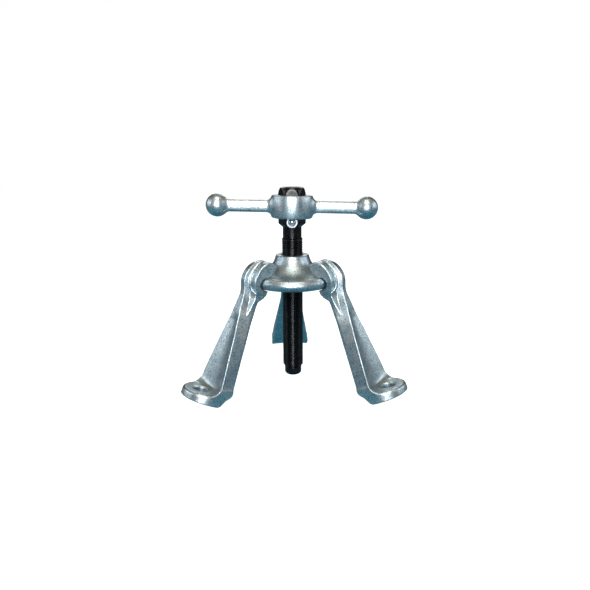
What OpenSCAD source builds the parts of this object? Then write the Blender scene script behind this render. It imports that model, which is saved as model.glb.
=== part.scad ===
// Three-arm wheel hub puller: a forged yoke with a beaded rim, three arms that
// hook over the bead, and a forcing screw driven by a slip-on ball-end handle.
// Millimetres. +Z runs up the screw. The origin is the centre of the end face
// of the swivel tip. The handle's bar runs along X, and the detent ball faces -Y.

/* [Forcing screw] */
// Major diameter of the screw thread
thread_d = 19.05; // [18:0.05:20]
// Length of the threaded stretch
thread_len = 124; // [110:1:140]
// Diameter of the plain neck under the head
neck_d = 17.1; // [15:0.1:17.4]
// Length of the plain neck
neck_len = 9.8; // [6:0.2:14]
// Width of the hexagonal head across its flats
hex_af = 22.2; // [21.6:0.1:24]
// Height of the hexagonal head, with its chamfers
head_h = 35.2; // [33:0.2:40]
// Angle of the head and handle about the screw's axis
drive_turn = 0; // [-30:1:30]

/* [Swivel tip] */
// Diameter of the swivel tip
tip_d = 15.9; // [14:0.1:17]
// Height of the tip below the end of the screw
tip_h = 7.8; // [6:0.1:10]
// Diameter of the tip's stem, which turns inside the screw
stem_d = 8; // [7:0.1:9]
// Diameter of the thrust ball between the stem and the screw
thrust_ball_d = 7.5; // [6:0.1:8]

/* [Drive handle] */
// Distance from the screw's axis to the centre of a ball end
ball_reach = 67; // [55:1:80]
// Diameter of a ball end
ball_d = 20.6; // [18:0.2:24]
// Diameter of the centre boss
boss_d = 39.6; // [36:0.2:44]
// Height of the centre boss
boss_h = 20.2; // [18:0.2:22]
// Height of the bar
bar_h = 10.8; // [9:0.2:12]
// Depth of the bar, front to back
bar_depth = 12; // [10:0.2:14]
// Lean of the handle, loose on its hexagon
handle_lean = 1.5; // [0:0.1:1.5]

/* [Detent] */
// Diameter of the detent ball
detent_d = 7.94; // [7:0.02:8.2]
// How far the detent ball stands out of the flat
detent_proud = 2; // [1.6:0.1:2.4]
// Outer diameter of the sleeve that holds the ball
sleeve_d = 9.4; // [9.2:0.1:10]

/* [Yoke] */
// Radius from the axis to the centre of the rim bead
rim_r = 35.6; // [34:0.2:40]
// Diameter of the rim bead
bead_d = 10.4; // [9.6:0.1:10.8]
// Height of the rim bead's centre above the tip's end face
rim_z = 94.4; // [85:0.2:100]
// Height of the cone's top above the bead's centre
cone_h = 22.1; // [20:0.1:24]
// Radius of the cone's top
cone_top_r = 15; // [13.5:0.1:15.5]

/* [Arms] */
// Outward tilt of the arms when they rest against the cone
splay = 24.5; // [20:0.5:24.5]
// Thickness of the leg, from its inner to its outer face
leg_t = 13.1; // [12:0.1:14]
// Depth from the bead's centre to the underside of the foot
foot_depth = 112; // [105:1:125]
// Thickness of the foot
foot_t = 9; // [8:0.2:11]
// Width of the foot
foot_w = 40; // [36:0.5:44]
// Reach of the foot from the bead's centre
foot_reach = 35.6; // [34:0.2:40]
// Diameter of the wheel-stud hole
stud_hole_d = 13.5; // [12:0.1:13.6]
// Distance from the bead's centre out to the stud hole
stud_hole_u = 20.6; // [20.6:0.1:22.6]
// Width over the raised bosses around the bead
hook_boss_w = 21; // [20:0.5:24]
// Width of the narrow back of the hook
hook_back_w = 8.4; // [7:0.2:10]
// Bearing of the left arm about the screw, on a rim that it can slide round
left_bearing = 215; // [205:1:220]
// Bearing of the right arm
right_bearing = 328; // [325:1:335]
// Bearing of the rear arm
rear_bearing = 92.5; // [85:0.5:95]

/* [Hidden] */
$fn = 96;

// Gap left around a part that turns or slides inside another
run_gap = 0.06;
// Extra length that lets one shape cut cleanly through another
over = 1;

// Heights along the screw, from the tip's end face up
screw_end_z = tip_h;
thread_top_z = screw_end_z + thread_len;
neck_top_z = thread_top_z + neck_len;
head_chamfer = 3.3;
hex_bottom_z = neck_top_z + head_chamfer;
head_top_z = neck_top_z + head_h;
hex_ac = hex_af / cos(30);

// Handle height: its boss rests on the detent ball
boss_z0 = head_top_z - boss_h - 7;
bore_gap = 0.4;
detent_r = detent_d / 2;
detent_y = hex_af / 2 + detent_proud - detent_r;
boss_edge = hex_af / 2 + bore_gap + 0.5 - detent_y;
detent_z = boss_z0 - sqrt(pow(detent_r, 2) - pow(boss_edge, 2)) - 0.35;

// Detent sleeve, bored from the flat towards the axis
sleeve_depth = 14.2;
sleeve_bore_r = detent_r + run_gap;
spring_d = 6.4;
spring_wire = 0.9;
spring_turns = 4;

// Socket in the end of the screw
ring_z = screw_end_z + 4;
ring_h = 1.4;
ring_r = stem_d / 2 + 0.9;
ring_groove = 0.9;
stem_top_z = screw_end_z + 9;
socket_top_z = stem_top_z + thrust_ball_d + 0.1;
socket_r = stem_d / 2 + run_gap;
joint_gap = 0.3;

// Yoke section, measured from the bead's centre
bead_r = bead_d / 2;
bore_r = thread_d / 2 + run_gap;
hub_r = bore_r + 6.4;
web_under = -0.8;

// Arm section, measured from the bead's centre: u is outward, w is up
opening_r = bead_r + 0.55;
head_r = 19.4;
head_at = [-1.5, 1.6];
leg_u0 = 0.5;
leg_u1 = leg_u0 + leg_t;
foot_top_w = -foot_depth + foot_t;
foot_fillet = 8.5;
spotface_d = stud_hole_d + 5.5;
spotface_h = 12;
tip_bevel = 2.6;
heel_u = 9.8;
heel_h = 11.5;
crease_w = -30;
boss_face_r = 12.4;
boss_step_r = 15.4;
boss_step_w = 16.4;

// Cross-section of the leg at its top and at the foot
leg_top_w = -10;
leg_bottom_w = foot_top_w + foot_fillet;
leg_ridge_u = 5;
leg_top_face = 4.2;
leg_top_ridge = 7.6;
inner_bevel = 2.3;

ZINC = [0.62, 0.67, 0.69];
BLACK_OXIDE = [0.07, 0.07, 0.08];
BRIGHT_STEEL = [0.80, 0.81, 0.82];
SPRING_STEEL = [0.45, 0.46, 0.48];

// ---------------------------------------------------------------- yoke

// Half section of the yoke: hub, cone, flare, web and beaded rim
module yoke_section() {
    polygon([
        [bore_r, -bead_r],
        [hub_r, -bead_r],
        [hub_r + 1.6, web_under],
        [rim_r, web_under],
        [rim_r - 0.5, bead_r - 0.1],
        [rim_r - 5, 5.4],
        [rim_r - 8.4, 6.6],
        [rim_r - 12, 8.9],
        [rim_r - 15.4, 11.6],
        [rim_r - 18.3, 14.9],
        [cone_top_r + 0.6, cone_h - 2],
        [cone_top_r, cone_h - 0.8],
        [cone_top_r - 1.2, cone_h],
        [bore_r + 0.9, cone_h],
        [bore_r, cone_h - 0.9]
    ]);
    translate([rim_r, 0]) circle(r = bead_r);
}

module yoke() {
    color(ZINC) translate([0, 0, rim_z]) rotate_extrude() yoke_section();
}

// ---------------------------------------------------------------- arms

// Side outline of the hook and its back, running down to the crease
module hook_outline() {
    difference() {
        union() {
            translate(head_at) circle(r = head_r);
            polygon([
                [head_at[0], head_at[1] + 8],
                [head_at[0] + head_r, head_at[1]],
                [17.1, -5],
                [15.7, -12],
                [14.9, -20],
                [leg_u1, crease_w],
                [leg_u0, crease_w],
                [-8, -12]
            ]);
        }
        hook_mouth();
    }
}

// Space for the bead, with the mouth that opens towards the screw
module hook_mouth() {
    circle(r = opening_r);
    translate([-1.6, 0.75]) circle(r = opening_r);
    translate([-1.8, -0.1]) circle(r = opening_r);
    polygon([
        [0, opening_r],
        [-4.2, 9.2],
        [-6.2, 17.6],
        [-8.5, 26],
        [-30, 26],
        [-30, crease_w - over],
        [leg_u0, crease_w - over],
        [leg_u0, -19],
        [-1.6, -14.6],
        [-4.4, -10.2],
        [-4.4, -5],
        [0, -2]
    ]);
}

// Hook: narrow at its back, swelling to the raised bosses around the bead
module hook() {
    intersection() {
        rotate([90, 0, 0])
            translate([0, 0, -foot_w / 2])
                linear_extrude(foot_w) hook_outline();
        rotate([90, 0, 0])
            rotate_extrude()
                polygon([
                    [0, -hook_boss_w / 2],
                    [boss_face_r, -hook_boss_w / 2],
                    [boss_step_r - 1.2, -boss_step_w / 2],
                    [boss_step_r, -boss_step_w / 2],
                    [head_r - 2, -hook_back_w / 2],
                    [60, -hook_back_w / 2 - 3],
                    [60, hook_back_w / 2 + 3],
                    [head_r - 2, hook_back_w / 2],
                    [boss_step_r, boss_step_w / 2],
                    [boss_step_r - 1.2, boss_step_w / 2],
                    [boss_face_r, hook_boss_w / 2],
                    [0, hook_boss_w / 2]
                ]);
    }
}

// Cross-section of the leg: face is half its outer face, ridge half its width
module leg_section(face, ridge) {
    polygon([
        [leg_u1, -face],
        [leg_ridge_u, -ridge],
        [leg_u0, -ridge + inner_bevel],
        [leg_u0, ridge - inner_bevel],
        [leg_ridge_u, ridge],
        [leg_u1, face]
    ]);
}

// Leg: a slim hexagon at the hook that widens to the full width of the foot
module leg() {
    hull() {
        translate([0, 0, leg_top_w - 10])
            linear_extrude(0.1) leg_section(leg_top_face, leg_top_ridge + 1.2);
        translate([0, 0, leg_bottom_w - 0.1])
            linear_extrude(0.1) leg_section(foot_w / 2, foot_w / 2);
    }
}

// Side outline of the heel and foot
module foot_outline() {
    difference() {
        polygon([
            [leg_u0, leg_bottom_w],
            [leg_u0, -foot_depth + heel_h],
            [2.2, -foot_depth + 9.4],
            [5.2, -foot_depth + 6.8],
            [heel_u - 1.6, -foot_depth + 1.6],
            [heel_u + 0.6, -foot_depth],
            [foot_reach - 1.5, -foot_depth],
            [foot_reach, -foot_depth + 1.5],
            [foot_reach, foot_top_w - tip_bevel],
            [foot_reach - tip_bevel, foot_top_w],
            [leg_u1 + foot_fillet, foot_top_w],
            [leg_u1 + foot_fillet, leg_bottom_w]
        ]);
        translate([leg_u1 + foot_fillet, foot_top_w + foot_fillet]) circle(r = foot_fillet);
    }
}

// Heel and foot: straight sides and a half-round end
module foot() {
    intersection() {
        rotate([90, 0, 0])
            translate([0, 0, -foot_w])
                linear_extrude(2 * foot_w) foot_outline();
        translate([0, 0, -foot_depth - over])
            linear_extrude(foot_depth) {
                translate([0, -foot_w / 2]) square([foot_reach - foot_w / 2, foot_w]);
                translate([foot_reach - foot_w / 2, 0]) circle(d = foot_w);
            }
    }
}

// One arm, hooked on the bead at a bearing about the screw's axis
module arm(bearing) {
    rotate([0, 0, bearing])
        translate([rim_r, 0, rim_z])
            rotate([0, -splay, 0])
                difference() {
                    union() {
                        hook();
                        leg();
                        foot();
                    }
                    translate([stud_hole_u, 0, -foot_depth - over])
                        cylinder(d = stud_hole_d, h = foot_t + 2 * over);
                    // flat seat round the hole, sunk into the fillet and the leg
                    translate([stud_hole_u, 0, foot_top_w])
                        cylinder(d = spotface_d, h = spotface_h);
                }
}

module arm_left() {
    color(ZINC) arm(left_bearing);
}

module arm_right() {
    color(ZINC) arm(right_bearing);
}

module arm_rear() {
    color(ZINC) arm(rear_bearing);
}

// ---------------------------------------------------------------- screw

// Hexagonal head with a crowned top and a chamfered underside
module screw_head() {
    intersection() {
        translate([0, 0, neck_top_z]) cylinder(d = hex_ac, h = head_h, $fn = 6);
        rotate_extrude()
            polygon([
                [0, neck_top_z],
                [neck_d / 2, neck_top_z],
                [hex_ac / 2 - 0.3, hex_bottom_z],
                [hex_ac / 2 - 0.3, head_top_z - 6.2],
                [hex_ac / 2 - 1.2, head_top_z - 2.4],
                [hex_ac / 2 - 2.3, head_top_z - 0.6],
                [hex_ac / 2 - 3.6, head_top_z],
                [0, head_top_z]
            ]);
    }
}

// Bore and counter-groove for the swivel tip's stem, ball and ring
module tip_socket() {
    translate([0, 0, screw_end_z - over])
        cylinder(r = socket_r, h = socket_top_z - screw_end_z + over);
    translate([0, 0, ring_z - run_gap])
        cylinder(r = ring_r + run_gap, h = ring_h + 2 * run_gap);
}

module forcing_screw() {
    color(BLACK_OXIDE)
        rotate([0, 0, drive_turn])
            difference() {
                union() {
                    rotate_extrude()
                        polygon([
                            [0, screw_end_z + joint_gap],
                            [tip_d / 2 - 0.2, screw_end_z + joint_gap],
                            [thread_d / 2, screw_end_z + joint_gap + 1.5],
                            [thread_d / 2, thread_top_z - 0.9],
                            [neck_d / 2, thread_top_z],
                            [neck_d / 2, neck_top_z + over],
                            [0, neck_top_z + over]
                        ]);
                    screw_head();
                }
                tip_socket();
                detent_hole(sleeve_d / 2);
            }
}

module tip_retaining_ring() {
    color(SPRING_STEEL)
        translate([0, 0, ring_z])
            difference() {
                cylinder(r = ring_r, h = ring_h);
                translate([0, 0, -over])
                    cylinder(r = stem_d / 2 - ring_groove + run_gap, h = ring_h + 2 * over);
            }
}

module swivel_tip() {
    color(BLACK_OXIDE)
        rotate_extrude()
            polygon([
                [0, 0],
                [tip_d / 2 - 1.6, 0],
                [tip_d / 2 - 0.5, 0.5],
                [tip_d / 2, 1.6],
                [tip_d / 2, screw_end_z - 0.5],
                [tip_d / 2 - 0.5, screw_end_z],
                [stem_d / 2, screw_end_z],
                [stem_d / 2, ring_z - run_gap],
                [stem_d / 2 - ring_groove, ring_z - run_gap],
                [stem_d / 2 - ring_groove, ring_z + ring_h + run_gap],
                [stem_d / 2, ring_z + ring_h + run_gap],
                [stem_d / 2, stem_top_z - 0.6],
                [stem_d / 2 - 0.6, stem_top_z],
                [0, stem_top_z]
            ]);
}

module thrust_ball() {
    color(BRIGHT_STEEL)
        translate([0, 0, stem_top_z + thrust_ball_d / 2])
            sphere(d = thrust_ball_d);
}

// ---------------------------------------------------------------- handle

// One bar with its ball end, along +X from the middle of the boss
module handle_bar() {
    translate([ball_reach, 0, 0]) sphere(d = ball_d);
    intersection() {
        translate([hex_af / 2 + 4, -bar_depth / 2, -bar_h / 2])
            cube([ball_reach - hex_af / 2 - 4, bar_depth, bar_h]);
        rotate([0, 90, 0]) cylinder(d = 14.4, h = ball_reach);
    }
    // root of the bar, where it swells into the boss
    rotate([0, 90, 0])
        translate([0, 0, boss_d / 2 - 3])
            cylinder(r1 = 8.8, r2 = bar_h / 2 + 0.1, h = 6.4);
}

// Boss in half section, with eased edges
module boss_section() {
    ease = 1.8;
    polygon([
        [0, -boss_h / 2],
        [boss_d / 2 - ease - 1.2, -boss_h / 2],
        [boss_d / 2 - 1, -boss_h / 2 + ease],
        [boss_d / 2, 0],
        [boss_d / 2 - 1, boss_h / 2 - ease],
        [boss_d / 2 - ease - 1.2, boss_h / 2],
        [0, boss_h / 2]
    ]);
}

// Hexagonal hole with a countersink at each end
module drive_hole() {
    translate([0, 0, -boss_h / 2 - over])
        cylinder(d = hex_ac + 2 * bore_gap / cos(30), h = boss_h + 2 * over, $fn = 6);
    for (side = [0, 1])
        mirror([0, 0, side])
            translate([0, 0, boss_h / 2 - 1])
                cylinder(r1 = hex_af / 2 + bore_gap - 0.5, r2 = hex_af / 2 + bore_gap + 1.5, h = 2);
}

module drive_handle() {
    color(ZINC)
        translate([0, 0, boss_z0 + boss_h / 2])
            rotate([0, handle_lean, drive_turn])
                difference() {
                    union() {
                        rotate_extrude() boss_section();
                        handle_bar();
                        mirror([1, 0, 0]) handle_bar();
                    }
                    drive_hole();
                }
}

// ---------------------------------------------------------------- detent

// Radial hole from the flat that faces -Y, of radius r
module detent_hole(r) {
    translate([0, -hex_af / 2 - over, detent_z])
        rotate([-90, 0, 0]) cylinder(r = r, h = sleeve_depth + over);
}

module detent_sleeve() {
    sleeve_floor = 1.2;
    color(SPRING_STEEL)
        rotate([0, 0, drive_turn])
            difference() {
                translate([0, -hex_af / 2, detent_z])
                    rotate([-90, 0, 0]) cylinder(d = sleeve_d, h = sleeve_depth);
                translate([0, -detent_y, detent_z])
                    rotate([-90, 0, 0])
                        cylinder(r = sleeve_bore_r,
                                 h = sleeve_depth - sleeve_floor - hex_af / 2 + detent_y);
                translate([0, -detent_y, detent_z]) sphere(r = sleeve_bore_r);
            }
}

module detent_ball() {
    color(BRIGHT_STEEL)
        rotate([0, 0, drive_turn])
            translate([0, -detent_y, detent_z]) sphere(d = detent_d);
}

// Coil spring drawn as a stack of closed rings, a pitch apart
module detent_spring() {
    spring_y0 = -detent_y + detent_r + 0.1;
    spring_y1 = -hex_af / 2 + sleeve_depth - 1.3;
    pitch = (spring_y1 - spring_y0 - spring_wire) / (spring_turns - 1);
    color(SPRING_STEEL)
        rotate([0, 0, drive_turn])
            translate([0, spring_y0 + spring_wire / 2, detent_z])
                rotate([-90, 0, 0])
                    for (turn = [0 : spring_turns - 1])
                        translate([0, 0, turn * pitch])
                            rotate_extrude()
                                translate([(spring_d - spring_wire) / 2, 0])
                                    circle(d = spring_wire, $fn = 24);
}

yoke();
arm_left();
arm_right();
arm_rear();
forcing_screw();
tip_retaining_ring();
swivel_tip();
thrust_ball();
drive_handle();
detent_sleeve();
detent_ball();
detent_spring();
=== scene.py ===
"""Looks of the hub puller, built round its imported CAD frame.

Shapes are in millimetres until they are placed.
"""
import math

import bmesh
import bpy
import numpy as np
import openvdb
from mathutils import Matrix, Vector


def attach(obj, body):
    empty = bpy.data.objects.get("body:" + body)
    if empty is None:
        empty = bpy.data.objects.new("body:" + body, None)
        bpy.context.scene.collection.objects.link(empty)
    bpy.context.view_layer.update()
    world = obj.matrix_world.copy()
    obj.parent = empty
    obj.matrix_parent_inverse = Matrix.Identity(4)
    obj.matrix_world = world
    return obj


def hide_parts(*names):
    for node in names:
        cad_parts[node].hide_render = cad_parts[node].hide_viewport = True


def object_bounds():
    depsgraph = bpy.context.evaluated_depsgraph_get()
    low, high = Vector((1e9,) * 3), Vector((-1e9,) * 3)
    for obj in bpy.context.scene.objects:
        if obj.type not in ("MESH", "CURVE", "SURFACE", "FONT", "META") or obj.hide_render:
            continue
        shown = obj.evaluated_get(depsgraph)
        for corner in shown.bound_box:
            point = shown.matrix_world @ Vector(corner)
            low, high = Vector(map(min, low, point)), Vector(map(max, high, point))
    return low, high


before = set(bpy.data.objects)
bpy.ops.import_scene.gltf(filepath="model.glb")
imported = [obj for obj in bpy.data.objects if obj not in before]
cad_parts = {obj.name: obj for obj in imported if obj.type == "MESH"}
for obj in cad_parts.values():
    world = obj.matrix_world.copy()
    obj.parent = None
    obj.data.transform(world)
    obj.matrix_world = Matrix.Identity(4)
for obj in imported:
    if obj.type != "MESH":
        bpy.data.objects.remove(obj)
cad_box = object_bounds()

MM = 0.001

# Yoke and rim
RIM_R, RIM_Z, BEAD_R = 35.6, 94.4, 5.2
CONE_H, CONE_TOP_R = 22.1, 15.0
BORE_R = 9.585

# Arms: each hangs from the bead at a bearing about the screw
SPLAY = math.radians(24.5)
BEARINGS = {"arm_left": 215.0, "arm_right": 328.0, "arm_rear": 92.5}
LEG_IN, LEG_OUT = 0.5, 13.6
FOOT_DEPTH, FOOT_HALF, FOOT_REACH = 112.0, 20.0, 35.6
# The foot's top falls away from the leg, and lies near FOOT_TOP at FOOT_LEVEL_U out
FOOT_TOP, FOOT_FALL, FOOT_LEVEL_U = -103.0, 0.15, 18
HOLE_U, HOLE_R = 20.6, 6.75
# Hook's round head: height of its centre over the bead's, and its radius
HEAD_W, HEAD_R = 1.8, 18.3

# Screw
THREAD_R, THREAD_LOW, THREAD_TOP = 9.525, 7.8, 131.8
PITCH, THREAD_DEPTH = 1.5875, 0.62
NECK_R, NECK_TOP = 8.55, 141.6
HEX_HALF, HEAD_TOP = 11.1, 176.8
HEX_CORNER = HEX_HALF / math.cos(math.radians(30))
HEX_GAP = 0.4
TIP_R, TIP_H = 7.95, 7.8
STEM_R, STEM_TOP = 4, 16.8
GROOVE_R, GROOVE_LOW, GROOVE_HIGH = 3.1, 11.74, 13.26
SOCKET_R, SOCKET_TOP = 4.06, 24.4
SLEEVE_R, SLEEVE_DEPTH = 4.7, 14.2
DETENT_Z = 146.5
SPRING_FRONT, SPRING_BACK = -5.06, 1.8

# Handle
HANDLE_Z, HANDLE_LEAN = 159.7, math.radians(1.5)
BALL_REACH, BALL_R = 67.0, 10.3
BOSS_R, BOSS_HALF = 19.8, 10.1
BAR_HALF_H, BAR_HALF_D = 5.4, 6.0

# Camera, in metres and degrees
CAMERA_AT = (-0.0002, -0.4607, 0.1955)
CAMERA_YAW, CAMERA_PITCH, CAMERA_ROLL = 0.3, 14.35, -0.35
CAMERA_LENS, CAMERA_SENSOR = 30.94, 36


# ------------------------------------------------------------------ fields
# A field is a signed distance in millimetres: negative inside the solid.

def blend_min(a, b, k):
    """Union of two fields, with a fillet of about k where they meet."""
    h = np.maximum(k - np.abs(a - b), 0) / k
    return np.minimum(a, b) - h * h * k / 4


def blend_max(a, b, k):
    """Intersection of two fields, with its edge rounded by about k."""
    return -blend_min(-a, -b, k)


def outline(points, x, y):
    """Distance to a closed polygon, negative inside."""
    best = np.full(np.broadcast(x, y).shape, 1e9)
    inside = np.zeros(best.shape, bool)
    for (ax, ay), (bx, by) in zip(points, points[1:] + points[:1]):
        ex, ey = bx - ax, by - ay
        along = np.clip(((x - ax) * ex + (y - ay) * ey) / (ex * ex + ey * ey), 0, 1)
        best = np.minimum(best, (x - ax - along * ex) ** 2 + (y - ay - along * ey) ** 2)
        if ay != by:
            inside ^= ((ay > y) != (by > y)) & (x < ax + (y - ay) * ex / ey)
    return np.where(inside, -1, 1) * np.sqrt(best)


def box_2d(x, y, cx, cy, hx, hy):
    """Distance to an upright rectangle with centre (cx, cy) and half sizes (hx, hy)."""
    dx, dy = np.abs(x - cx) - hx, np.abs(y - cy) - hy
    return np.hypot(np.maximum(dx, 0), np.maximum(dy, 0)) + np.minimum(np.maximum(dx, dy), 0)


def gradient(field, points, eps=0.05):
    """Field's gradient at points, by central differences."""
    out = np.empty_like(points)
    for axis in range(3):
        step = np.zeros(3)
        step[axis] = eps
        high, low = points + step, points - step
        out[:, axis] = (field(*high.T) - field(*low.T)) / (2 * eps)
    return out


def field_shape(field, low, high, step):
    """Points, faces and normals of a field's zero surface, with each point settled on it exactly."""
    axes = [np.arange(a, b + step, step) for a, b in zip(low, high)]
    grid = field(axes[0][:, None, None], axes[1][None, :, None], axes[2][None, None, :])
    grid = np.clip(np.broadcast_to(grid, [len(a) for a in axes]), -3 * step, 3 * step)
    volume = openvdb.FloatGrid(3 * step)
    volume.copyFromArray(np.ascontiguousarray(grid, np.float32))
    points, _, quads = volume.convertToPolygons(isovalue=0.0, adaptivity=0.0)
    points = points.astype(float) * step + np.array(low)
    for _ in range(3):
        slope = gradient(field, points)
        size = np.maximum((slope ** 2).sum(1), 0.05)
        move = np.clip(field(*points.T) / size, -step / 2, step / 2)
        points -= slope * move[:, None]
    normals = gradient(field, points)
    normals /= np.maximum(np.linalg.norm(normals, axis=1), 1e-6)[:, None]
    a, b, c = (points[quads[:, i]] for i in range(3))
    face = np.cross(b - a, c - a)
    if (face * normals[quads[:, 0]]).sum() < 0:
        quads = quads[:, ::-1]
    return points, quads.tolist(), normals


def from_shape(name, shape, place):
    """Object made from a field's shape, put in the row frame."""
    points, quads, normals = shape
    mesh = bpy.data.meshes.new(name)
    mesh.from_pydata(points * MM, [], quads)
    mesh.shade_smooth()
    mesh.normals_split_custom_set_from_vertices(normals)
    mesh.transform(place)
    piece = bpy.data.objects.new(name, mesh)
    bpy.context.scene.collection.objects.link(piece)
    return piece


# ------------------------------------------------------------------ turned pieces

def eased(points, steps=5):
    """Path through (r, z, ease) points, with each corner rounded over its ease."""
    path = []
    for i, (x, y, ease) in enumerate(points):
        corner = np.array((x, y), float)
        if ease == 0 or i in (0, len(points) - 1):
            path.append(corner)
            continue
        sides = [np.array(points[j][:2], float) - corner for j in (i - 1, i + 1)]
        ends = []
        for side in sides:
            reach = np.linalg.norm(side)
            ends.append(corner + side / reach * min(ease, reach / 2))
        for t in np.linspace(0, 1, steps + 1):
            path.append((1 - t) ** 2 * ends[0] + 2 * t * (1 - t) * corner + t * t * ends[1])
    return path


def skin(name, rows, closed=False):
    """Mesh over rows of points round the Z axis. Rows at r = 0 close the solid."""
    rows = np.array(rows)
    count, around = rows.shape[:2]
    quads = []
    for j in range(count if closed else count - 1):
        low, high = j * around, (j + 1) % count * around
        for i in range(around):
            k = (i + 1) % around
            quads.append((low + i, low + k, high + k, high + i))
    mesh = bpy.data.meshes.new(name)
    mesh.from_pydata((rows.reshape(-1, 3) * MM).tolist(), [], quads)
    piece = bpy.data.objects.new(name, mesh)
    bpy.context.scene.collection.objects.link(piece)
    tidy_mesh(mesh)
    return piece


def tidy_mesh(mesh):
    """Merges doubled points, drops empty faces, turns all faces outward and marks the sharp edges."""
    bm = bmesh.new()
    bm.from_mesh(mesh)
    bmesh.ops.remove_doubles(bm, verts=bm.verts, dist=1e-6)
    bmesh.ops.dissolve_degenerate(bm, edges=bm.edges, dist=1e-7)
    bmesh.ops.recalc_face_normals(bm, faces=bm.faces)
    bm.to_mesh(mesh)
    bm.free()
    mesh.shade_smooth()
    mesh.set_sharp_from_angle(angle=math.radians(40))


def turned(name, path, around=128, closed=False):
    """Solid of revolution about Z from a path of (r, z) points."""
    angles = np.linspace(0, 2 * math.pi, around, endpoint=False)
    ring = np.stack([np.cos(angles), np.sin(angles)], 1)
    rows = [np.column_stack([r * ring, np.full(around, z)]) for r, z in path]
    return skin(name, rows, closed)


# ------------------------------------------------------------------ arms

def hook_side(u, w):
    """Side outline of the hook: its round head, its back and the mouth for the bead."""
    head = np.hypot(u, w - HEAD_W) - HEAD_R
    back = outline([(0, 10), (HEAD_R, HEAD_W), (17.9, -2), (17.1, -4.7), (15.4, -9), (14.2, -14),
                    (13.8, -20), (13.8, -28), (13.6, -31), (0.5, -31), (-8, -12)], u, w)
    mouth = np.hypot(u, w) - 5.75
    mouth = np.minimum(mouth, np.hypot(u + 1.7, w - 0.4) - 5.8)
    slot = outline([(0, 5.75), (-1.8, 8), (-2.7, 9.8), (-4.6, 14), (-4.9, 17), (-3.0, 20),
                    (-3, 27), (-32, 27), (-32, -34), (0.5, -34), (0.5, -16.6), (-2.2, -13.6),
                    (-4.4, -10.2), (-4.4, -5), (0, -2)], u, w)
    mouth = np.minimum(mouth, slot)
    return blend_max(blend_min(head, back, 1), -mouth, 0.8)


def eased_line(x, xs, ys, ease):
    """Broken line through (xs, ys) with its corners eased over about ease to each side."""
    shifts = np.linspace(-ease, ease, 7)
    return sum(np.interp(x + shift, xs, ys) for shift in shifts) / len(shifts)


def side_half(w):
    """Half width over the arm's flat sides, at their inner edge."""
    heights = [-100, -71, -53, -37, -20, -14]
    return eased_line(w, heights, [FOOT_HALF, 15.9, 13.4, 11.0, 9.3, 9.4], 1.2)


def face_half(w):
    """Half width of the arm's outer face at height w."""
    return eased_line(w, [-95, -71, -53, -37, -28, -20, -14],
                      [FOOT_HALF, 14.9, 11.3, 7.3, 5.5, 4.4, 3.1], 2)


def arm_half(u, w):
    """Half width of the arm: a strap with sloping sides, and a boss round the bead."""
    radius = np.hypot(u, w - HEAD_W)
    turn = np.degrees(np.arctan2(w - HEAD_W, u))
    outer = eased_line(w, [-31, -28, -20, -14, -9, -4.7, -2, HEAD_W],
                       [13.6, 13.8, 13.8, 14.2, 15.4, 17.1, 17.9, HEAD_R], 0.8)
    gap = np.where(w > HEAD_W, HEAD_R - radius, outer - u)
    face = face_half(w)
    # the strap widens inward from the outer face, by rise for each millimetre of gap
    rise = eased_line(w, [-85, -71, -53, -37, -30, -22, -12],
                      [0.02, 0.08, 0.16, 0.28, 0.34, 0.24, 0.36], 2)
    strap = face + rise * gap
    # spear-shaped facet: starts at this gap, flares steeply and fades out below the hook
    start = eased_line(w, [-31, -17, -12], [6.2, 6.0, 5.6], 1)
    facet = face + rise * start + 1.2 * (gap - start) - 3 * np.maximum(-31 - w, 0)
    lean = eased_line(w, [-85, -71, -53, -37, -30, -17],
                      [0.02, 0.08, 0.16, 0.28, 0.28, 0.03], 2)
    leg = blend_min(np.maximum(strap, facet), side_half(w) - lean * (u - 1), 0.3)
    # boss: its edge is a spiral over the turn, with a rib and a groove just outside it
    inside = eased_line(turn, [15, 42, 64, 89], [11.6, 13.2, 15.6, 17.7], 4) - radius
    rib = 0.6 * np.exp(-((inside + 2.5) / 0.5) ** 2) - 0.5 * np.exp(-((inside + 1.6) / 0.4) ** 2)
    boss = np.interp(inside, [-1.4, -0.6, 0.3], [3.0, 9.5, 10.5])
    half = np.maximum(np.where(w > HEAD_W, strap, leg) + rib * (w > -16), boss)
    chamfer = eased_line(w, [-112, -30, -19, -16], [0.8, 1.0, 0.8, 0], 1)
    return half - chamfer * np.clip((3.0 - u) / 2.5, 0, 1.3)


def dish(t, w):
    """Depth of the hollow along the leg's outer face."""
    half = face_half(w)
    depth = 0.19 * half * np.clip((-w - 29) / 9, 0, 1)
    return depth * (1 - np.clip(np.abs(t) / half, 0, 1) ** 2)


def foot_slab(u, t, w):
    """Foot: a slab with a half-round end that thins towards its tip."""
    plan = np.hypot(np.maximum(u - (FOOT_REACH - FOOT_HALF), 0), t) - FOOT_HALF
    top = w - (FOOT_TOP + 0.5 - FOOT_FALL * (u - FOOT_LEVEL_U))
    return blend_max(blend_max(plan, top, 2.6), -FOOT_DEPTH - w, 1.2)


def heel(u, t, w):
    """Space under the heel: a slope that is cut higher in its middle."""
    lift = 1.5 * (1 - (t / FOOT_HALF) ** 2)
    return outline([(-9, -96), (-2, -100.5), (0.5, -100.5), (2.2, -102.6), (5.2, -105.2), (8.4, -110.4),
                    (10.4, -112.2), (14, -118), (-9, -118)], u, w - lift)


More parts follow.
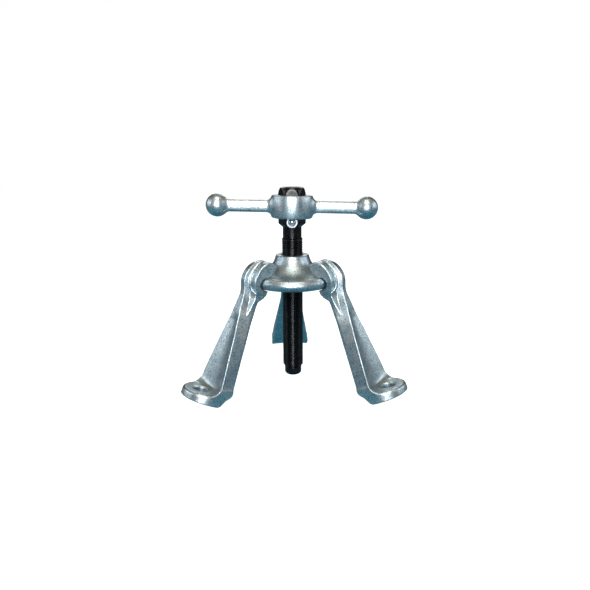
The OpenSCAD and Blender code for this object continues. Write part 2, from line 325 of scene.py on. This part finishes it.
def arm_field(u, t, w):
    """One forged arm in its own frame: u outward, t sideways and w up, from the bead's centre."""
    side = np.abs(t) - arm_half(u, w)
    hook = blend_max(hook_side(u, w), side * 0.7, 0.5)
    leg = blend_max(box_2d(u, w, 0, -64, LEG_OUT, 46), u - LEG_OUT + dish(t, w), 0.4)
    leg = blend_max(leg, side * 0.9, 0.7)
    fillet = 2.6 + 5.4 * np.clip(t / FOOT_HALF, -1, 1) ** 2
    leg = blend_min(leg, foot_slab(u, t, w), fillet)
    leg = blend_max(leg, LEG_IN - u, 0.8)
    leg = blend_max(leg, np.abs(t) - FOOT_HALF, 0.9)
    leg = blend_max(leg, -FOOT_DEPTH - w, 0.9)
    leg = blend_max(leg, -heel(u, t, w), 1.0)
    arm = np.minimum(hook, leg)
    stud = np.hypot(u - HOLE_U, t)
    seat = FOOT_TOP + 0.4 - FOOT_FALL * (u - FOOT_LEVEL_U)
    cone = (stud - HOLE_R - 1.2 - np.minimum(w - seat, 0)) * 0.7
    hole = np.minimum(stud - HOLE_R, cone)
    # the hole stops above the foot, so that it doesn't cut the hook
    hole = np.maximum(hole, w - FOOT_TOP - 12)
    return blend_max(arm, -hole, 0.3)


def make_arms():
    """Three like arms, each hooked over the bead at its bearing."""
    step = 0.45
    shape = field_shape(arm_field, (-23, -21.5, -114), (38, 21.5, 23), step)
    for name, bearing in BEARINGS.items():
        place = (Matrix.Rotation(math.radians(bearing), 4, "Z")
                 @ Matrix.Translation((RIM_R * MM, 0, RIM_Z * MM))
                 @ Matrix.Rotation(-SPLAY, 4, "Y"))
        piece = from_shape(name + "_forging", shape, place)
        finish_piece(piece, name, zinc, "zinc_plate", name)


# ------------------------------------------------------------------ yoke

def yoke_path():
    """Closed half section of the yoke: cone, bore and underside, then round the bead."""
    flare = [(RIM_R - 4.4, 5.0, 1), (RIM_R - 5.4, 5.5, 1), (RIM_R - 8.4, 6.6, 2), (RIM_R - 12, 8.9, 2),
             (RIM_R - 15.4, 11.8, 2), (RIM_R - 18.3, 15.2, 2), (CONE_TOP_R + 0.6, CONE_H - 2, 1),
             (CONE_TOP_R, CONE_H, 1.2), (BORE_R + 0.9, CONE_H, 0.3), (BORE_R, CONE_H - 0.9, 0.3),
             (BORE_R, -BEAD_R + 0.8, 0.3), (BORE_R + 0.8, -BEAD_R, 0.3), (BORE_R + 6.4, -BEAD_R, 1.2),
             (BORE_R + 8.2, -0.8, 2), (RIM_R - 4.6, -0.8, 1)]
    path = [(r, z) for r, z in eased(flare)]
    for angle in np.linspace(-2.6, 2.1, 40):
        path.append((RIM_R + BEAD_R * math.cos(angle), BEAD_R * math.sin(angle)))
    return [(r, z + RIM_Z) for r, z in path]


def make_yoke():
    """The forged yoke with its beaded rim."""
    piece = turned("yoke_forging", yoke_path(), 192, closed=True)
    return finish_piece(piece, "yoke", zinc, "zinc_plate", "yoke")


# ------------------------------------------------------------------ screw

def thread_radius(angle, z):
    """Radius of the screw's shank: a right-hand thread that runs out at both ends."""
    phase = (z / PITCH - angle / (2 * math.pi)) % 1
    crest, root = 0.24, 0.2
    valley = np.clip((1 - crest - np.abs(2 * phase - 1)) / (1 - crest - root), 0, 1)
    run_out = np.clip((THREAD_TOP - 0.4 - z) / (1.5 * PITCH), 0, 1)
    lead_in = THREAD_LOW + 0.3
    chamfer = TIP_R - 0.2 + np.maximum(z - lead_in, 0) * 1.1
    neck_slope = NECK_R + np.maximum(THREAD_TOP - z, 0) * 1.1
    shank = THREAD_R - THREAD_DEPTH * valley * run_out
    return np.minimum(np.minimum(shank, chamfer), neck_slope)


def make_shank():
    """Threaded shank with the tip's socket inside and the plain neck above."""
    around = 96
    angles = np.linspace(0, 2 * math.pi, around, endpoint=False)
    low = THREAD_LOW + 0.3
    lower = [(0, SOCKET_TOP), (SOCKET_R, SOCKET_TOP), (SOCKET_R, low + 0.4),
             (SOCKET_R + 0.4, low)]
    upper = [(NECK_R, THREAD_TOP + 0.3), (NECK_R, NECK_TOP), (NECK_R, NECK_TOP + 1.2),
             (0, NECK_TOP + 1.2)]
    levels = np.arange(low, THREAD_TOP + 0.01, PITCH / 10)
    rows = []
    for r, z in lower:
        rows.append((np.full(around, float(r)), z))
    for z in levels:
        rows.append((thread_radius(angles, z), z))
    for r, z in upper:
        rows.append((np.full(around, float(r)), z))
    points = [np.column_stack([r * np.cos(angles), r * np.sin(angles), np.full(around, z)])
              for r, z in rows]
    piece = skin("screw_shank", points)
    return finish_piece(piece, "screw", black_oxide, "black_oxide", "forcing_screw")


def head_field(x, y, z):
    """Hexagonal head with a crowned top, a chamfered underside and the hole for the detent's sleeve."""
    flats = np.abs(y) - HEX_HALF
    for turn in (60, 120):
        a = math.radians(turn)
        flats = blend_max(flats, np.abs(y * math.cos(a) + x * math.sin(a)) - HEX_HALF, 0.5)
    crown = outline([(-40, NECK_TOP), (NECK_R, NECK_TOP), (HEX_CORNER - 0.3, NECK_TOP + 3.3),
                     (HEX_CORNER - 0.3, HEAD_TOP - 6.2), (HEX_CORNER - 1.2, HEAD_TOP - 2.4),
                     (HEX_CORNER - 2.3, HEAD_TOP - 0.6), (HEX_CORNER - 3.6, HEAD_TOP),
                     (-40, HEAD_TOP)], np.hypot(x, y), z)
    head = blend_max(flats, crown, 0.6)
    hole = np.hypot(x, z - DETENT_Z) - SLEEVE_R - 0.02
    hole = np.maximum(hole, y - (SLEEVE_DEPTH - HEX_HALF + 0.1))
    return blend_max(head, -hole, 0.4)


def make_head():
    """The screw's hexagonal head."""
    reach = HEX_CORNER + 1
    low = (-reach, -HEX_HALF - 1, NECK_TOP - 1)
    high = (reach, HEX_HALF + 1, HEAD_TOP + 1)
    shape = field_shape(head_field, low, high, 0.35)
    piece = from_shape("screw_head", shape, Matrix.Identity(4))
    return finish_piece(piece, "screw", black_oxide, "black_oxide", "forcing_screw")


def make_tip():
    """Swivel tip with its grooved stem."""
    path = eased([(0, 0, 0), (TIP_R - 1.4, 0, 0.5), (TIP_R, 1.5, 0.8), (TIP_R, TIP_H, 0.5),
                  (STEM_R, TIP_H, 0), (STEM_R, GROOVE_LOW, 0), (GROOVE_R, GROOVE_LOW, 0),
                  (GROOVE_R, GROOVE_HIGH, 0), (STEM_R, GROOVE_HIGH, 0),
                  (STEM_R, STEM_TOP, 0.6), (0, STEM_TOP, 0)])
    piece = turned("swivel_tip_turned", path, 96)
    return finish_piece(piece, "swivel", black_oxide, "black_oxide", "swivel_tip")


# ------------------------------------------------------------------ handle

def handle_field(x, y, z):
    """Forged handle: a round boss with a bar and a ball end on each side, and a hexagonal hole."""
    far = np.abs(x)
    ball = np.sqrt((far - BALL_REACH) ** 2 + y ** 2 + z ** 2) - BALL_R
    flank = np.abs(y) - BAR_HALF_D + 0.03 * z ** 2
    bar = blend_max(flank, np.abs(z) - BAR_HALF_H + 0.012 * y ** 2, 2.0)
    bar = np.maximum(bar, far - BALL_REACH)
    radius = np.hypot(x, y)
    boss = blend_max(radius - BOSS_R + 0.5 + 0.009 * z ** 2, np.abs(z) - BOSS_HALF, 1.4)
    body = blend_min(bar, boss, 4.5)
    body = blend_min(body, ball, 2.6)
    hole = np.abs(y) - HEX_HALF - HEX_GAP
    for turn in (60, 120):
        a = math.radians(turn)
        hole = np.maximum(hole, np.abs(y * math.cos(a) + x * math.sin(a)) - HEX_HALF - HEX_GAP)
    countersink = (radius - HEX_HALF - HEX_GAP - (np.abs(z) - BOSS_HALF + 1)) * 0.7
    return blend_max(body, -np.minimum(hole, countersink), 0.8)


def make_handle():
    """The slip-on handle, leaning as it hangs loose on the hexagon."""
    place = Matrix.Translation((0, 0, HANDLE_Z * MM)) @ Matrix.Rotation(HANDLE_LEAN, 4, "Y")
    reach = BALL_REACH + BALL_R + 1
    step = 0.45
    low = (-reach, -BOSS_R - 1, -BALL_R - 1)
    high = (reach, BOSS_R + 1, BALL_R + 1)
    shape = field_shape(handle_field, low, high, step)
    piece = from_shape("drive_handle_forging", shape, place)
    return finish_piece(piece, "handle", zinc, "zinc_plate", "drive_handle")


def make_spring():
    """Coil spring behind the detent ball, wound about the Y axis. It stays at its rest length."""
    wire_r, coil_r, turns = 0.45, 2.75, 5.5
    start, end = SPRING_FRONT + wire_r, SPRING_BACK - wire_r
    count, around = 160, 12
    rows = []
    for t in np.linspace(0, 1, count):
        a = t * turns * 2 * math.pi
        centre = np.array((coil_r * math.cos(a), start + (end - start) * t,
                           DETENT_Z + coil_r * math.sin(a)))
        out = np.array((math.cos(a), 0, math.sin(a)))
        spin = np.linspace(0, 2 * math.pi, around, endpoint=False)[:, None]
        rows.append(centre + wire_r * (np.cos(spin) * out + np.sin(spin) * np.array((0, 1, 0))))
    rows.insert(0, np.repeat(rows[0].mean(0)[None], around, 0))
    rows.append(np.repeat(rows[-1].mean(0)[None], around, 0))
    piece = skin("detent_coil", rows)
    return finish_piece(piece, "screw", spring_steel, "spring_steel", "detent_spring")


# ------------------------------------------------------------------ materials

def new_material(name, colour, roughness, metallic=1.0):
    """Principled material, and the parts of its node tree that the finishes build on."""
    material = bpy.data.materials.new(name)
    material.use_nodes = True
    tree = material.node_tree
    shader = tree.nodes["Principled BSDF"]
    shader.inputs["Base Color"].default_value = (*colour, 1)
    shader.inputs["Roughness"].default_value = roughness
    shader.inputs["Metallic"].default_value = metallic
    coords = tree.nodes.new("ShaderNodeTexCoord")
    return material, tree, shader, coords.outputs["Object"]


def noise(tree, coords, per_metre, detail=3.0, rough=0.5):
    """Noise with a given number of lumps per metre."""
    node = tree.nodes.new("ShaderNodeTexNoise")
    node.inputs["Scale"].default_value = per_metre
    node.inputs["Detail"].default_value = detail
    node.inputs["Roughness"].default_value = rough
    tree.links.new(coords, node.inputs["Vector"])
    return node.outputs["Fac"]


def ramp(tree, factor, stops):
    """Colour ramp over a factor."""
    node = tree.nodes.new("ShaderNodeValToRGB")
    elements = node.color_ramp.elements
    while len(elements) < len(stops):
        elements.new(0.5)
    for element, (position, colour) in zip(elements, stops):
        element.position = position
        element.color = (*colour, 1)
    tree.links.new(factor, node.inputs["Fac"])
    return node.outputs["Color"]


def spread(tree, factor, low, high):
    """Maps a factor's middle range to low..high."""
    node = tree.nodes.new("ShaderNodeMapRange")
    node.inputs["From Min"].default_value = 0.3
    node.inputs["From Max"].default_value = 0.7
    node.inputs["To Min"].default_value = low
    node.inputs["To Max"].default_value = high
    tree.links.new(factor, node.inputs["Value"])
    return node.outputs["Result"]


def bump(tree, shader, layers):
    """Stacks bump layers of (height, strength, distance in metres) on the shader's normal."""
    normal = None
    for height, strength, distance in layers:
        node = tree.nodes.new("ShaderNodeBump")
        node.inputs["Strength"].default_value = strength
        node.inputs["Distance"].default_value = distance
        tree.links.new(height, node.inputs["Height"])
        if normal:
            tree.links.new(normal, node.inputs["Normal"])
        normal = node.outputs["Normal"]
    tree.links.new(normal, shader.inputs["Normal"])


def multiply(tree, a, b, amount=1.0):
    """Product of two colours."""
    node = tree.nodes.new("ShaderNodeMix")
    node.data_type = "RGBA"
    node.blend_type = "MULTIPLY"
    node.inputs["Factor"].default_value = amount
    tree.links.new(a, node.inputs["A"])
    tree.links.new(b, node.inputs["B"])
    return node.outputs["Result"]


def make_zinc():
    """Bluish zinc plate over a pickled forging: fine mottling, cloudy tone and small pits."""
    material, tree, shader, coords = new_material("zinc_plate", (0.6, 0.66, 0.68), 0.3)
    grain = noise(tree, coords, 1000, 3, 0.6)
    cloud = noise(tree, coords, 130, 3, 0.55)
    tone = ramp(tree, cloud, [(0.3, (0.46, 0.56, 0.60)), (0.5, (0.60, 0.68, 0.70)),
                              (0.72, (0.76, 0.78, 0.75))])
    speckle = ramp(tree, grain, [(0.36, (0.22, 0.28, 0.36)), (0.5, (0.78, 0.84, 0.88)),
                                 (0.62, (1, 1, 1))])
    tree.links.new(multiply(tree, tone, speckle, 0.9), shader.inputs["Base Color"])
    tree.links.new(spread(tree, grain, 0.46, 0.28), shader.inputs["Roughness"])
    pits = noise(tree, coords, 520, 3, 0.5)
    bump(tree, shader, [(pits, 0.4, 0.0002), (grain, 0.4, 0.00015)])
    return material


def make_black_oxide():
    """Oiled black oxide: nearly black, with faint brown and grey clouds."""
    material, tree, shader, coords = new_material("black_oxide", (0.02, 0.02, 0.021), 0.25)
    grain = noise(tree, coords, 1100, 3, 0.6)
    cloud = noise(tree, coords, 160, 3, 0.6)
    tone = ramp(tree, cloud, [(0.35, (0.017, 0.017, 0.018)), (0.6, (0.027, 0.027, 0.029)),
                              (0.8, (0.06, 0.048, 0.04))])
    tree.links.new(tone, shader.inputs["Base Color"])
    tree.links.new(spread(tree, grain, 0.2, 0.34), shader.inputs["Roughness"])
    shader.inputs["Coat Weight"].default_value = 0.25
    shader.inputs["Coat Roughness"].default_value = 0.1
    bump(tree, shader, [(grain, 0.3, 0.00015)])
    return material


def make_ball_steel():
    """Polished bearing steel with the faintest haze."""
    material, tree, shader, coords = new_material("ball_steel", (0.8, 0.81, 0.82), 0.08)
    haze = noise(tree, coords, 700, 2, 0.5)
    tree.links.new(spread(tree, haze, 0.06, 0.14), shader.inputs["Roughness"])
    tone = ramp(tree, haze, [(0.3, (0.74, 0.76, 0.78)), (0.7, (0.84, 0.85, 0.86))])
    tree.links.new(tone, shader.inputs["Base Color"])
    return material


def make_spring_steel():
    """Bare grey steel with a fine mottle."""
    material, tree, shader, coords = new_material("spring_steel", (0.38, 0.39, 0.41), 0.35)
    mottle = noise(tree, coords, 1500, 3, 0.6)
    tone = ramp(tree, mottle, [(0.3, (0.26, 0.27, 0.29)), (0.7, (0.46, 0.47, 0.49))])
    tree.links.new(tone, shader.inputs["Base Color"])
    tree.links.new(spread(tree, mottle, 0.28, 0.45), shader.inputs["Roughness"])
    return material


def finish_piece(piece, body, material, slot, *nodes):
    """Gives a piece its material and its body, and hides the CAD nodes it stands for."""
    piece.data.materials.append(material)
    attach(piece, body)
    if nodes:
        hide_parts(*nodes)
    return piece


def paint(node, material):
    """Gives a CAD node that stays in view its procedural material."""
    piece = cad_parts[node]
    piece.data.materials.clear()
    piece.data.materials.append(material)


# ------------------------------------------------------------------ stage

def area_light(name, place, target, width, height, power, colour):
    """Soft box at place, facing target."""
    data = bpy.data.lights.new(name, "AREA")
    data.shape = "RECTANGLE"
    data.size, data.size_y = width, height
    data.energy = power
    data.color = colour
    lamp = bpy.data.objects.new(name, data)
    lamp.location = place
    lamp.rotation_euler = (Vector(target) - Vector(place)).to_track_quat("-Z", "Y").to_euler()
    bpy.context.scene.collection.objects.link(lamp)
    return lamp


def make_floor():
    """Pale floor at the rest pose's lowest point. It hides what a pose puts lower.

    The metal doesn't mirror it.
    """
    low = cad_box[0].z
    half = 4.0
    mesh = bpy.data.meshes.new("floor")
    corners = [(-half, -half), (half, -half), (half, half), (-half, half)]
    mesh.from_pydata([(x, y, low) for x, y in corners], [], [(0, 1, 2, 3)])
    floor = bpy.data.objects.new("floor", mesh)
    bpy.context.scene.collection.objects.link(floor)
    floor.visible_glossy = False
    material = bpy.data.materials.new("floor")
    material.use_nodes = True
    shader = material.node_tree.nodes["Principled BSDF"]
    shader.inputs["Base Color"].default_value = (0.6, 0.6, 0.6, 1)
    shader.inputs["Roughness"].default_value = 1.0
    shader.inputs["Specular IOR Level"].default_value = 0.0
    shader.inputs["Emission Color"].default_value = (1, 1, 1, 1)
    shader.inputs["Emission Strength"].default_value = 0.95
    mesh.materials.append(material)
    return floor


def make_world():
    """Surroundings coloured by height: bluish below, nearly black above level, warm overhead.

    The camera itself sees plain white.
    """
    world = bpy.data.worlds.new("studio")
    bpy.context.scene.world = world
    world.use_nodes = True
    tree = world.node_tree
    tree.nodes.clear()
    coords = tree.nodes.new("ShaderNodeTexCoord").outputs["Generated"]
    split = tree.nodes.new("ShaderNodeSeparateXYZ")
    tree.links.new(coords, split.inputs["Vector"])
    height = tree.nodes.new("ShaderNodeMapRange")
    height.inputs["From Min"].default_value = -1
    height.inputs["From Max"].default_value = 1
    tree.links.new(split.outputs["Z"], height.inputs["Value"])
    colour = ramp(tree, height.outputs["Result"],
                  [(0.0, (0.04, 0.18, 0.25)), (0.22, (0.07, 0.31, 0.41)), (0.37, (0.17, 0.25, 0.30)),
                   (0.46, (0.12, 0.15, 0.18)), (0.51, (0.02, 0.02, 0.024)), (0.64, (0.03, 0.026, 0.024)),
                   (0.8, (0.15, 0.13, 0.11)), (1.0, (0.34, 0.28, 0.2))])
    glow = tree.nodes.new("ShaderNodeBackground")
    tree.links.new(colour, glow.inputs["Color"])
    glow.inputs["Strength"].default_value = 1.0
    plain = tree.nodes.new("ShaderNodeBackground")
    plain.inputs["Color"].default_value = (1, 1, 1, 1)
    plain.inputs["Strength"].default_value = 1.0
    path = tree.nodes.new("ShaderNodeLightPath")
    mix = tree.nodes.new("ShaderNodeMixShader")
    tree.links.new(path.outputs["Is Camera Ray"], mix.inputs["Fac"])
    tree.links.new(glow.outputs["Background"], mix.inputs[1])
    tree.links.new(plain.outputs["Background"], mix.inputs[2])
    out = tree.nodes.new("ShaderNodeOutputWorld")
    tree.links.new(mix.outputs["Shader"], out.inputs["Surface"])


def make_lights():
    """Soft boxes: behind and above the camera, overhead, one to each side and one at the back."""
    middle = (0, 0, 0.09)
    area_light("front_box", (-0.02, -1.2, 0.42), middle, 0.5, 0.6, 16, (1, 1, 1))
    area_light("overhead_box", (0, -0.55, 1.25), middle, 0.6, 1.1, 8, (1, 0.93, 0.82))
    area_light("left_box", (-1.4, -0.1, 0.62), middle, 1.5, 0.9, 7, (0.88, 0.95, 1))
    area_light("right_box", (1.4, -0.1, 0.62), middle, 1.5, 0.9, 7, (0.88, 0.95, 1))
    area_light("back_box", (0, 1.5, 0.9), middle, 0.9, 0.5, 4, (0.97, 0.98, 1))


def make_camera():
    """Camera a little above the handle, looking down at the tool."""
    yaw = math.radians(CAMERA_YAW)
    pitch = math.radians(CAMERA_PITCH)
    roll = math.radians(CAMERA_ROLL)
    forward = Vector((math.sin(yaw) * math.cos(pitch), math.cos(yaw) * math.cos(pitch),
                      -math.sin(pitch)))
    right = Vector((math.cos(yaw), -math.sin(yaw), 0))
    up = right.cross(forward)
    across = math.cos(roll) * right + math.sin(roll) * up
    above = -math.sin(roll) * right + math.cos(roll) * up
    data = bpy.data.cameras.new("camera")
    data.sensor_width = CAMERA_SENSOR
    data.lens = CAMERA_LENS
    data.clip_start = 0.01
    camera = bpy.data.objects.new("camera", data)
    place = Matrix.Identity(4)
    for column, axis in enumerate((across, above, -forward)):
        for row in range(3):
            place[row][column] = axis[row]
    place.translation = CAMERA_AT
    camera.matrix_world = place
    bpy.context.scene.collection.objects.link(camera)
    bpy.context.scene.camera = camera


# ------------------------------------------------------------------ scene

bpy.context.scene.view_settings.view_transform = "Standard"
make_camera()
zinc = make_zinc()
black_oxide = make_black_oxide()
ball_steel = make_ball_steel()
spring_steel = make_spring_steel()

make_arms()
make_yoke()
make_shank()
make_head()
make_tip()
make_handle()
make_spring()
paint("detent_sleeve", spring_steel)
paint("detent_ball", ball_steel)
paint("thrust_ball", ball_steel)
paint("tip_retaining_ring", spring_steel)

make_floor()
make_world()
make_lights()
